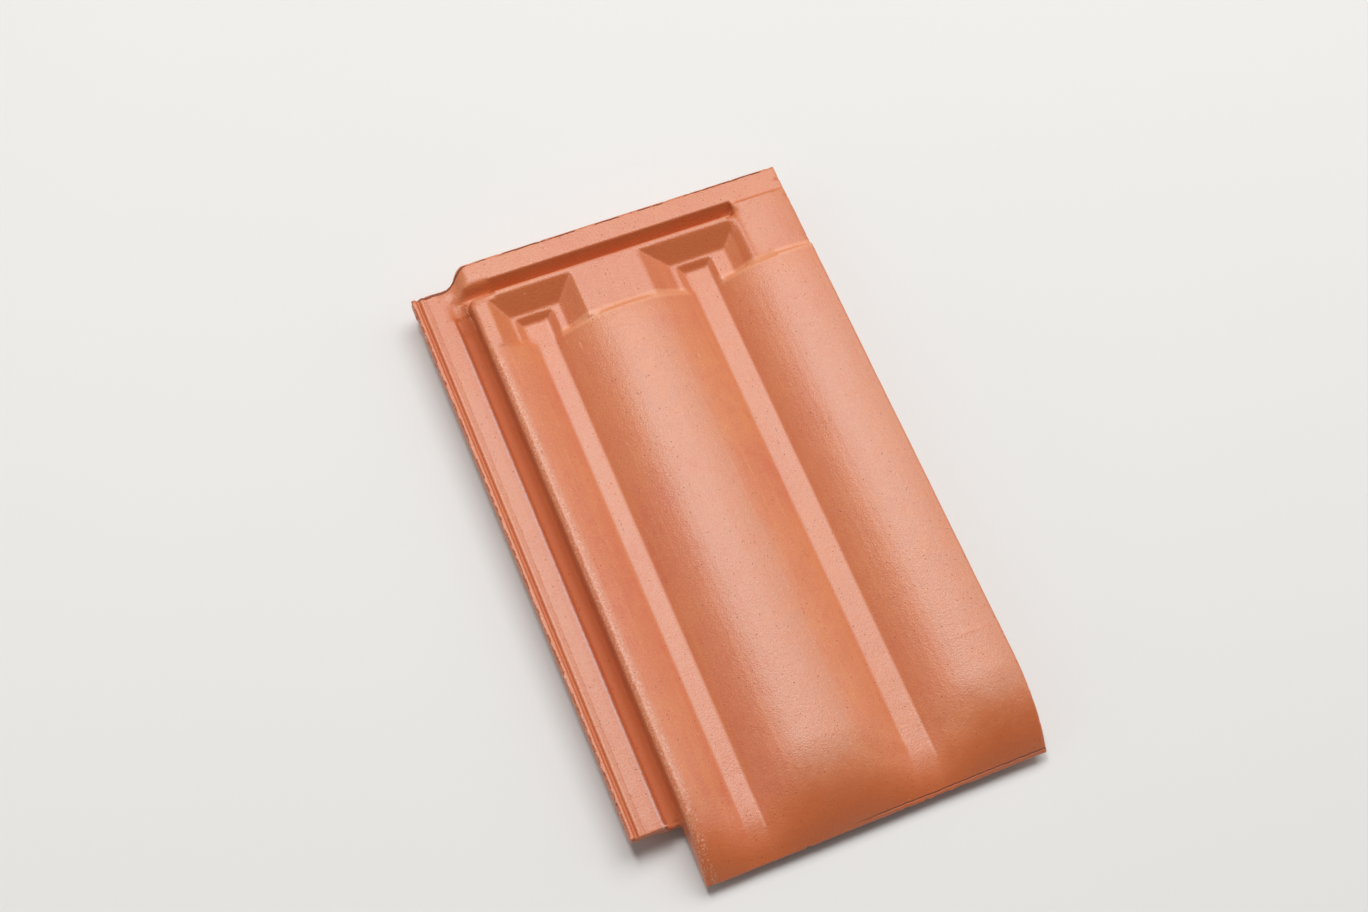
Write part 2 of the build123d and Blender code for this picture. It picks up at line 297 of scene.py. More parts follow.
class Lattice:
    """Smooth three-dimensional noise over a repeating lattice of seeded values."""

    def __init__(self, seed: int, cells: int = 48) -> None:
        """Draws the lattice.

        Args:
            seed: The seed of its values.
            cells: How many values it has each way before it repeats.
        """
        self.cells = cells
        self.values = np.random.default_rng(seed).uniform(-1, 1, (cells,) * 3)

    def at(self, points: np.ndarray, size: float) -> np.ndarray:
        """Reads the noise.

        Args:
            points: The points, one a row.
            size: The size of its features.

        Returns:
            A value from -1 to 1 for each point.
        """
        scaled = points / size
        corner = np.floor(scaled).astype(int)
        share = scaled - corner
        share = share * share * (3 - 2 * share)
        total = np.zeros(len(points))
        for offset in product((0, 1), repeat=3):
            weight = np.prod(np.where(offset, share, 1 - share), axis=1)
            index = (corner + offset) % self.cells
            total += weight * self.values[index[:, 0], index[:, 1], index[:, 2]]
        return total


def smooth_step(values: np.ndarray, low: float, high: float) -> np.ndarray:
    """A smooth step over an array, 0 on the side of low and 1 on the side of high.

    Args:
        values: The values.
        low: The value that gives 0.
        high: The value that gives 1, which may be the smaller one.

    Returns:
        The steps, from 0 to 1.
    """
    share = np.clip((values - low) / (high - low), 0, 1)
    return share * share * (3 - 2 * share)


@dataclass(frozen=True)
class Drawing:
    """The maker's drawing, in millimetres.

    A place is its distance across from the left border, its distance along from the tail, and its
    level above the face of the strips.
    """

    left: float = -129.0
    tail: float = -212.5
    strip: float = 20.0

    def point(self, place: tuple) -> Vector:
        """Gives the point in the frame, in metres, of a place on the drawing."""
        return (Vector(place) + Vector((self.left, self.tail, self.strip))) * MM

    def places(self, points: np.ndarray) -> np.ndarray:
        """Gives the places on the drawing of points in the frame.

        Args:
            points: The points in metres, one a row.

        Returns:
            Across, along and level for each point.
        """
        return points / MM - (self.left, self.tail, self.strip)

    def shades(self, nodes: Nodes, point: Shade) -> list[Shade]:
        """Gives the place on the drawing inside a material.

        Args:
            nodes: The material's nodes.
            point: The point in metres.

        Returns:
            Across, along and level.
        """
        split = nodes.node("ShaderNodeSeparateXYZ", None, {0: point})
        starts = (self.left, self.tail, self.strip)
        return [
            Shade(nodes, socket) * (1 / MM) - start for socket, start in zip(split.outputs, starts)
        ]


class Tool(Enum):
    """What left a mark on the clay."""

    CHIP = "chip"
    CRACK = "crack"
    DENT = "dent"
    RIDGE = "ridge"


@dataclass(frozen=True)
class Mark:
    """One mark on the clay: where it is on the drawing, how large, and what left it."""

    tool: Tool
    across: float
    along: float
    level: float
    reach: tuple
    depth: float
    raggedness: float = 0.3
    broken_rim: tuple = (1.0, 0.6)

    def press(self, places: np.ndarray, rough: np.ndarray) -> np.ndarray:
        """Works out how deep the mark goes.

        Args:
            places: The places on the drawing, one a row.
            rough: Noise from -1 to 1, which makes a broken mark ragged.

        Returns:
            The depth at each place, in millimetres, below nothing for a ridge.
        """
        middle = (self.across, self.along, self.level)
        distance = np.linalg.norm((places - middle) / self.reach, axis=1)
        if self.tool in (Tool.CHIP, Tool.CRACK):
            ragged = distance + self.raggedness * rough
            return self.depth * smooth_step(ragged, *self.broken_rim)
        depth = self.depth * np.clip(1 - distance**2, 0, None) ** 2
        return -depth if self.tool is Tool.RIDGE else depth


@dataclass(frozen=True)
class ClaySurface:
    """What the clay's material reads at each point of the surface."""

    nodes: Nodes
    point: Shade
    across: Shade
    along: Shade
    level: Shade
    leftward: Shade
    tailward: Shade
    upward: Shade
    relief: Shade
    grain: Shade
    fleck: Shade
    mottle: Shade
    cloud: Shade
    streak: Shade

    @classmethod
    def read(cls, nodes: Nodes, relief_name: str) -> "ClaySurface":
        """Adds the nodes that read the place, the facing, the relief and the noises.

        Args:
            nodes: The material's nodes.
            relief_name: The attribute with the height over the softened surface.

        Returns:
            The surface.
        """
        point = nodes.add("ShaderNodeTexCoord", out="Object")
        across, along, level = Drawing().shades(nodes, point)
        facing = nodes.add("ShaderNodeTexCoord", out="Normal")
        split = nodes.node("ShaderNodeSeparateXYZ", None, {0: facing})
        rightward, headward, upward = (Shade(nodes, socket) for socket in split.outputs)
        drawn_out = nodes.stretched(point, (1.0, 0.06, 1.0))
        return cls(
            nodes=nodes,
            point=point,
            across=across,
            along=along,
            level=level,
            leftward=0 - rightward,
            tailward=0 - headward,
            upward=upward,
            relief=nodes.add("ShaderNodeAttribute", {"attribute_name": relief_name}, None, "Fac"),
            grain=nodes.noise(point, 1.2 * MM, 3.0, 0.65),
            fleck=nodes.noise(point, 2.2 * MM, 2.0, 0.6),
            mottle=nodes.noise(point, 9 * MM, 4.0, 0.6),
            cloud=nodes.noise(point, 70 * MM, 3.0),
            streak=nodes.noise(drawn_out, 5 * MM, 3.0),
        )


@dataclass(frozen=True)
class PressSeam:
    """The torn line that the press leaves just inside the head edge and on the tail edge.

    Places are in millimetres on the drawing: a pair fades in from its first number to its second,
    and a triple is a band's middle, half its width and the width of its soft sides.
    """

    head_outline: float = 416.0
    lip_rise: float = 9.0
    lip_start: tuple = (21.5, 39.5)
    corner: tuple = (22.0, 12.0, 6.0)
    head_line: tuple = (1.4, 0.15, 0.35)
    corner_line: tuple = (1.7, 0.45, 0.4)
    head_levels: tuple = (-8.0, -6.0)
    tail_line: tuple = (2.9, 0.15, 0.4)
    tail_start: tuple = (120.0, 150.0)
    tail_levels: tuple = (-12.0, -10.0)
    wander: float = 1.6
    wander_size: float = 7.0
    tear_size: float = 16.0

    def draw(self, on: ClaySurface) -> Shade:
        """Draws the line.

        Args:
            on: The surface.

        Returns:
            The line, from 0 to 1.
        """
        wander = on.nodes.noise(on.point, self.wander_size * MM, 3.0)
        outline = on.across.step(*self.lip_start) * self.lip_rise + self.head_outline
        inset = outline - on.along + wander * self.wander - self.wander / 2
        corner = on.across.band(*self.corner)
        line = inset.band(*self.head_line) * (1 - corner) + inset.band(*self.corner_line) * corner
        tear = on.nodes.noise(on.point, self.tear_size * MM, 3.0).step(0.40, 0.50)
        torn = tear * (1 - corner) + corner
        head = line * torn * on.upward.step(0.35, 0.6) * on.level.step(*self.head_levels)
        tail = (on.along + wander * 1.4).band(*self.tail_line)
        tail = tail * on.across.step(*self.tail_start) * on.level.step(*self.tail_levels)
        return head + tail * 0.7


@dataclass(frozen=True)
class SideLockWear:
    """The dulled band and worn edges of the side lock, and its rough left border with painted shade
    on the outer side.

    Places are in millimetres on the drawing, as in the press seam.
    """

    umber: tuple = (0.540, 0.122, 0.028)
    lilac: tuple = (0.560, 0.360, 0.360)
    chalk: tuple = (0.800, 0.480, 0.330)
    scar: tuple = (0.200, 0.036, 0.016)
    band_shoulder: tuple = (19.0, 1.4, 1.4)
    outer_bead: tuple = (5.0, 1.5)
    lock_reach: tuple = (43.0, 36.0)
    band_reach: tuple = (24.0, 20.0)
    inner_crest: tuple = (36.8, 2.2, 2.2)
    inner_crest_end: tuple = (362.0, 352.0)
    band_edge: tuple = (21.0, 0.5, 0.9)
    band_edge_levels: tuple = (4.0, 0.6, 0.6)
    band_edge_end: tuple = (392.0, 365.0)
    # Where painted shade darkens the outer side of the left border
    shaded_border_face: tuple = (1.1, 0.3)
    border: tuple = (2.2, 1.0)
    chip_size: float = 2.4

    def wear(self, on: ClaySurface, colour: Shade) -> Shade:
        """Dulls the lock and wears its inner edges.

        Args:
            on: The surface.
            colour: The colour so far.

        Returns:
            The colour.
        """
        dull = on.across.band(*self.band_shoulder) * 0.2 + on.across.step(*self.outer_bead) * 0.3
        dull = dull + on.across.step(*self.lock_reach) * 0.18
        pitted = on.across.step(*self.band_reach) * on.grain.step(0.50, 0.34)
        colour = colour.toward(self.umber, dull + pitted * 0.3)
        crest = on.across.band(*self.inner_crest) * on.along.step(*self.inner_crest_end)
        colour = colour.toward(self.umber, crest * on.grain.step(0.52, 0.36) * 0.25)
        colour = colour.toward(self.chalk, crest * on.grain.step(0.50, 0.64) * 0.5)
        edge = on.across.band(*self.band_edge) * on.level.band(*self.band_edge_levels)
        edge = edge * on.fleck.step(0.25, 0.6) * on.along.step(*self.band_edge_end)
        return colour.toward(self.lilac, edge * 0.65)

    def roughen(self, on: ClaySurface, colour: Shade) -> Shade:
        """Paints shade on the outer side of the left border and breaks up its colour with chips.

        Args:
            on: The surface.
            colour: The colour so far.

        Returns:
            The colour.
        """
        # Painted shade on the outer side of the left border
        colour = colour.toward(self.umber, on.across.step(*self.shaded_border_face) * 0.6)
        chips = on.nodes.noise(on.point, self.chip_size * MM, 3.0, 0.7)
        border = on.across.step(*self.border)
        colour = colour.toward(self.chalk, border * chips.step(0.60, 0.68) * 0.75)
        return colour.toward(self.scar, border * chips.step(0.42, 0.34) * 0.8)


@dataclass(frozen=True)
class FiredClay:
    """Red earthenware, pressed between oiled dies: smooth faces with a fine open grain.

    Places are in millimetres on the drawing, as in the press seam.
    """

    body: tuple = (0.655, 0.205, 0.092)
    ruddy: tuple = (0.625, 0.168, 0.082)
    orange: tuple = (0.690, 0.238, 0.096)
    # Pale skin of the faces that look up, partly real and partly painted sheen
    bloom_and_sheen: tuple = (0.628, 0.246, 0.138)
    umber: tuple = (0.540, 0.122, 0.028)
    # Pale colour of edges that stand out, partly wear and partly painted highlight
    rim: tuple = (0.720, 0.300, 0.180)
    scar: tuple = (0.200, 0.036, 0.016)
    chalk: tuple = (0.800, 0.480, 0.330)
    ochre: tuple = (0.800, 0.360, 0.190)
    # Deep red of the painted shade on the nose
    shade_red: tuple = (0.650, 0.140, 0.036)
    roughness: float = 0.30
    density: float = 1.6
    dark_nose_patches: tuple = (75.0, 20.0)
    dark_patch_size: float = 22.0
    shaded_nose: tuple = (44.0, 14.0)
    shaded_nose_levels: tuple = (17.0, 2.0)
    thinner_bloom_and_sheen: tuple = (290.0, 370.0)
    # Where painted shade darkens the head end
    shaded_head: tuple = (340.0, 375.0)
    bright_step: tuple = (362.0, 7.0, 4.0)
    past_lock: tuple = (31.0, 41.0)
    barrel_ends: tuple = (354.0, 4.0, 8.0)
    barrel_levels: tuple = (3.0, 8.0)
    panel_side: tuple = (216.0, 2.6, 2.4)
    panel_run: tuple = (382.0, 19.0, 4.0)
    panel_levels: tuple = (5.0, 9.0)
    brow: tuple = (361.5, 2.0, 2.5)
    brow_start: tuple = (80.0, 84.0)
    brow_levels: tuple = (1.5, 4.0)
    groove: tuple = (28.0, 2.1, 2.5)
    groove_levels: tuple = (2.5, -0.5)
    strip_sides: tuple = (77.4, 190.4)
    strip_line: tuple = (0.5, 0.7)
    strip_levels: tuple = (0.0, 0.6, 0.5)
    pore_spacing: float = 2.2
    speck_spacing: float = 7.5
    lock: SideLockWear = SideLockWear()
    seam: PressSeam = PressSeam()

    def make(self, relief_name: str) -> bpy.types.Material:
        """Builds the material.

        Args:
            relief_name: The attribute with the height over the softened surface.

        Returns:
            The material.
        """
        nodes = Nodes("fired_clay")
        on = ClaySurface.read(nodes, relief_name)
        colour = self._pressed_faces(on, self._ground(on))
        colour = self._head_end(on, self._turned_faces(on, colour))
        # Painted shade on the nose: a deeper red towards the tail edge, below the crests
        nose = on.along.step(*self.shaded_nose) * on.level.step(*self.shaded_nose_levels)
        colour = colour.toward(self.shade_red, nose * 0.45)
        # Painted shade in the side lock's main groove
        groove = on.across.band(*self.groove) * on.level.step(*self.groove_levels)
        colour = colour.toward(self.umber, groove * 0.9)
        colour = self._edges(on, colour)
        seam = self.seam.draw(on)
        colour = colour.toward(self.scar, seam * 0.9)
        pores = nodes.spots(on.point, self.pore_spacing * MM, 0.42, 0.19)
        specks = nodes.spots(on.point, self.speck_spacing * MM, 0.3, 0.075)
        colour = colour.toward(self.scar, pores * 0.6).toward(self.chalk, specks * 0.8)
        height = on.grain * 0.27 + on.fleck * 0.12 - pores * 0.25 - seam * 0.7
        bump = {"Height": height, "Distance": 1 * MM, "Strength": 1.0}
        hollow = on.relief.step(-0.05, -0.5) * 0.2 + groove * 0.3 + seam * 0.3
        inputs = {
            "Base Color": colour,
            "Roughness": on.grain * 0.16 + hollow + self.roughness,
            "Normal": nodes.add("ShaderNodeBump", None, bump),
            "IOR": self.density,
        }
        return nodes.finish(nodes.add("ShaderNodeBsdfPrincipled", None, inputs))

    def _ground(self, on: ClaySurface) -> Shade:
        """Mixes the fired body's own unevenness.

        Args:
            on: The surface.

        Returns:
            The colour.
        """
        colour = on.nodes.mix(self.ruddy, self.orange, on.cloud.step(0.35, 0.65))
        colour = colour.toward(self.body, on.mottle.step(0.3, 0.7))
        return colour.toward(self.orange, on.streak.step(0.48, 0.68) * 0.6)

    def _pressed_faces(self, on: ClaySurface, colour: Shade) -> Shade:
        """Adds the pale skin and painted sheen of the faces that look up, thinner towards the head,
        the open grain, and painted shade towards the head.

        Args:
            on: The surface.
            colour: The colour so far.

        Returns:
            The colour.
        """
        # Pale skin and painted sheen on the faces that look up, thinner towards the head
        bloom_and_sheen_share = on.mottle.step(0.25, 0.75) * 0.45 + on.streak.step(0.3, 0.7) * 0.25 + 0.4
        bloom_and_sheen_share = bloom_and_sheen_share * (1 - on.along.step(*self.thinner_bloom_and_sheen) * 0.5)
        colour = colour.toward(self.bloom_and_sheen, on.upward.step(0.93, 0.985) * bloom_and_sheen_share)
        colour = colour.toward(self.chalk, on.grain.step(0.55, 0.75) * 0.40)
        # Dark grain, and painted shade towards the head end
        head = on.along.step(*self.shaded_head) * 0.20
        return colour.toward(self.umber, on.grain.step(0.45, 0.25) * 0.42 + head)

    def _turned_faces(self, on: ClaySurface, colour: Shade) -> Shade:
        """Paints shade on the faces turned to the tail or the left and in the corners, and darkens
        the nose in patches, partly as painted shade.

        Args:
            on: The surface.
            colour: The colour so far.

        Returns:
            The colour.
        """
        # Painted shade on faces turned to the tail and on steep faces not turned to the head, kept
        # off the head step
        past_lock = on.across.step(*self.past_lock)
        steep = on.upward.step(0.62, 0.2) * on.tailward.step(-0.5, -0.1) * past_lock
        turned = on.tailward.step(0.2, 0.62) * 0.65 + steep * 0.35
        bright = on.along.band(*self.bright_step) * on.upward.step(0.3, 0.6)
        colour = colour.toward(self.umber, turned * (1 - bright))
        # Darker patches on the nose, partly painted shade, and a faint dark mottle everywhere
        patches = on.nodes.noise(on.point, self.dark_patch_size * MM, 4.0, 0.6)
        dark_nose = patches.step(0.42, 0.66) * on.along.step(*self.dark_nose_patches)
        colour = colour.toward(self.umber, dark_nose * 0.45 + on.mottle.step(0.55, 0.75) * 0.12)
        # Painted shade in the corners and hollows
        colour = colour.toward(self.umber, on.relief.step(-0.1, -0.7) * 0.4)
        # Painted shade on faces turned to the left, away from the lamps
        left = on.leftward.step(0.12, 0.45) * on.upward.step(0.4, 0.8) * past_lock
        return colour.toward(self.umber, left * 0.22)

    def _head_end(self, on: ClaySurface, colour: Shade) -> Shade:
        """Colours the ends of the barrels, paints shade along the left edge of the right panel, and
        paints a highlight on the brow of the head step.

        Args:
            on: The surface.
            colour: The colour so far.

        Returns:
            The colour.
        """
        ends = on.along.band(*self.barrel_ends) * on.level.step(*self.barrel_levels)
        colour = colour.toward(self.orange, ends * 0.35)
        # Painted shade along the left edge of the right panel
        side = on.across.band(*self.panel_side) * on.along.band(*self.panel_run)
        colour = colour.toward(self.umber, side * on.level.step(*self.panel_levels) * 0.6)
        # Painted highlight on the brow where the barrels step down to the head
        brow = on.along.band(*self.brow) * on.across.step(*self.brow_start)
        brow = brow * on.upward.step(0.1, 0.4) * on.level.step(*self.brow_levels)
        return colour.toward(self.ochre, brow * 0.50)

    def _edges(self, on: ClaySurface, colour: Shade) -> Shade:
        """Lightens the edges that stand out, partly as wear and partly as painted highlight, draws
        pale lines along the strips' sides, wears the side lock, and paints shade on its outer
        border.

        Args:
            on: The surface.
            colour: The colour so far.

        Returns:
            The colour.
        """
        # Pale rims on edges that stand out: partly wear, partly painted highlight
        patchy = on.fleck.step(0.3, 0.7) * 0.35 + 0.15
        colour = colour.toward(self.rim, on.relief.step(0.15, 0.8) * patchy)
        colour = self.lock.wear(on, colour)
        for side in self.strip_sides:
            line = on.across.band(side, *self.strip_line) * on.level.band(*self.strip_levels)
            colour = colour.toward(self.rim, line * 0.6)
        return self.lock.roughen(on, colour)


@dataclass(frozen=True)
class FloorPaint:
    """Matt pale paint of the studio floor."""

    colour: tuple = (0.78, 0.77, 0.75)
    roughness: float = 0.9

    def make(self) -> bpy.types.Material:
        """Builds the material, with a faint unevenness.

        Returns:
            The material.
        """
        nodes = Nodes("floor_paint")
        place = nodes.add("ShaderNodeTexCoord", out="Object")
        patch = nodes.noise(place, 400 * MM, 2.0)
        darker = tuple(0.97 * part for part in self.colour)
        inputs = {"Base Color": nodes.mix(darker, self.colour, patch), "Roughness": self.roughness}
        return nodes.finish(nodes.add("ShaderNodeBsdfPrincipled", None, inputs))


@dataclass(frozen=True)
class MainGroove:
    """The side lock's main groove, in millimetres on the drawing.

    A block planes its left wall down from the band in one slope, and a cove rounds the foot of
    its right wall.
    """

    block_low: tuple = (22.58, 41.0, 1.3)
    block_high: tuple = (27.0, 404.2, 5.0)
    batter: float = 0.4
    runout: float = 4.0
    floor: float = -3.5
    run: tuple = (42.0, 402.0)
    rise: float = 6.5
    rise_start: float = 382.0
    rise_length: float = 22.0
    cove_span: tuple = (26.5, 32.2)
    cove_radius: float = 6.2
    cove_depth: float = 0.8

    def make_block(self) -> bpy.types.Object:
        """Makes the block that is cut away.

        Returns:
            The block, in the scene.
        """
        work = bmesh.new()
        bmesh.ops.create_cube(work, size=1.0)
        low, high = self.block_low, self.block_high
        for corner in work.verts:
            place = [low[i] if corner.co[i] < 0 else high[i] for i in range(3)]
            if corner.co.y > 0 and corner.co.z > 0:
                place[1] += self.runout
            if corner.co.x < 0:
                place[0] -= self.batter * (place[2] - low[2])
            corner.co = Drawing().point(place)
        mesh = bpy.data.meshes.new("groove_block")
        work.to_mesh(mesh)
        work.free()
        block = bpy.data.objects.new("groove_block", mesh)
        bpy.context.scene.collection.objects.link(block)
        return block

    def cove(self, places: np.ndarray) -> np.ndarray:
        """Rounds the foot of the right wall.

        Args:
            places: The places on the drawing, one a row.

        Returns:
            How far each place rises.
        """
        across, along, level = places.T
        start, end = self.cove_span
        floor = self.floor + self.rise * np.clip((along - self.rise_start) / self.rise_length, 0, 1)
        inward = np.clip(across - start, 0, end - start)
        target = floor + self.cove_radius - np.sqrt(self.cove_radius**2 - inward**2)
        within = (across > start) & (across < end) & (along > self.run[0]) & (along < self.run[1])
        within &= (level > floor - self.cove_depth) & (level < target)
        return np.where(within, target - level, 0)


@dataclass(frozen=True)
class SoftPlace:
    """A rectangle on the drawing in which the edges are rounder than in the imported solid."""

    low: tuple
    high: tuple
    share: float
    fade: float = 1.5

    def reach(self, places: np.ndarray) -> np.ndarray:
        """Gives how far each place takes the softened surface.

        Args:
            places: The places on the drawing, one a row.

        Returns:
            A share from 0 to 1 for each place.
        """
        flat = places[:, :2]
        gap = np.maximum(np.array(self.low) - flat, flat - np.array(self.high)).max(axis=1)
        return self.share * smooth_step(gap, self.fade, -self.fade)


@dataclass(frozen=True)
class PressedSkin:
    """The unevenness of pressed and fired faces, in millimetres on the drawing."""

    warp: float = 0.30
    warp_size: float = 90.0
    warp_levels: tuple = (1.0, 16.0)
    ripple: float = 0.09
    ripple_size: float = 13.0
    pucker: float = 0.035
    pucker_size: float = 4.5
    edge_relief: tuple = (0.10, 0.45)
    nibble: float = 0.9
    nibble_size: float = 3.4
    nibble_shift: float = 31.0
    nibble_rarity: float = 0.38
    nibble_fade: float = 0.45
    border: float = 2.5
    border_nibble: float = 1.3
    inner_nibble: float = 0.15
    right_rim: float = 254.0
    tail_rim: float = 4.0
    head_rim: float = 414.0
    crumb_size: float = 1.3
    soft_levels: tuple = (-6.0, -4.5)
    soft_places: tuple = (
        SoftPlace((33.0, 42.0), (40.0, 360.0), 0.65),
        SoftPlace((16.0, 394.0), (50.0, 415.0), 1.0),
        SoftPlace((34.0, 354.0), (72.0, 366.0), 0.6),
        SoftPlace((41.0, 358.0), (118.0, 396.0), 0.22),
        SoftPlace((118.0, 355.0), (160.0, 366.0), 0.4),
        SoftPlace((160.0, 358.0), (212.0, 396.0), 0.22),
        SoftPlace((212.5, 360.0), (232.0, 405.0), 1.0),
    )
    marks: tuple = (
        Mark(Tool.CRACK, 256.5, 414.9, 12.5, (4.2, 0.6, 3.0), 0.8),
        Mark(Tool.CHIP, 258.3, 400.0, 14.0, (2.0, 3.0, 2.4), 1.0),
        Mark(Tool.CHIP, 258.2, 368.7, 13.6, (1.8, 2.6, 2.2), 0.9),
        Mark(Tool.DENT, 156.2, 311.9, 11.8, (2.2, 2.2, 3.0), 0.5),
        Mark(Tool.DENT, 90.4, 346.2, 8.9, (1.2, 4.0, 3.0), 0.35),
        Mark(Tool.CHIP, 0.0, 404.0, -2.0, (2.2, 3.0, 3.5), 1.5),
        Mark(Tool.CHIP, 0.0, 369.0, -2.5, (1.8, 2.4, 2.6), 1.3),
        Mark(Tool.CHIP, 0.5, 416.0, 0.0, (2.6, 2.2, 2.4), 1.0),
        Mark(Tool.RIDGE, 233.0, 304.8, 17.0, (9.0, 1.0, 5.0), 0.30),
        Mark(Tool.RIDGE, 238.0, 80.0, 17.0, (20.0, 1.0, 7.0), 0.16),
    )

    def sag(self, places: np.ndarray, height: np.ndarray) -> np.ndarray:
        """Gives the slow warp of the tile, which leaves its feet on the floor.

        Args:
            places: The places on the drawing, one a row.
            height: The height of each over the floor.

        Returns:
            How far each place rises.
        """
        free = smooth_step(height, *self.warp_levels)
        return self.warp * Lattice(1).at(places, self.warp_size) * free

    def push(self, places: np.ndarray, relief: np.ndarray) -> np.ndarray:
        """Gives the ripples, the broken edges and the marks.

        Args:
            places: The places on the drawing, one a row.
            relief: How far each stands out from the softened surface.

        Returns:
            How far each place moves outwards.
        """
        fine = Lattice(3)
        push = self.ripple * Lattice(2).at(places, self.ripple_size)
        push += self.pucker * fine.at(places, self.pucker_size)
        across, along, _ = places.T
        at_border = across < self.border
        outer = at_border | (across > self.right_rim)
        outer |= (along < self.tail_rim) | (along > self.head_rim)
        bite = np.where(outer, self.nibble, self.inner_nibble)
        bite = np.where(at_border, self.border_nibble, bite)
        rarity = np.where(at_border, 0.0, self.nibble_rarity)
        broken = fine.at(places + self.nibble_shift, self.nibble_size)
        broken = smooth_step(broken, rarity, rarity + self.nibble_fade)
        push -= bite * smooth_step(relief, *self.edge_relief) * broken
        rough = fine.at(places, self.crumb_size)
        for mark in self.marks:
            push -= mark.press(places, rough)
        return push

    def rounding(self, places: np.ndarray) -> np.ndarray:
        """Gives how far each place takes the softened surface.

        Args:
            places: The places on the drawing, one a row.

        Returns:
            A share from 0 to 1 for each place.
        """
        share = np.max([place.reach(places) for place in self.soft_places], axis=0)
        return share * smooth_step(places[:, 2], *self.soft_levels)


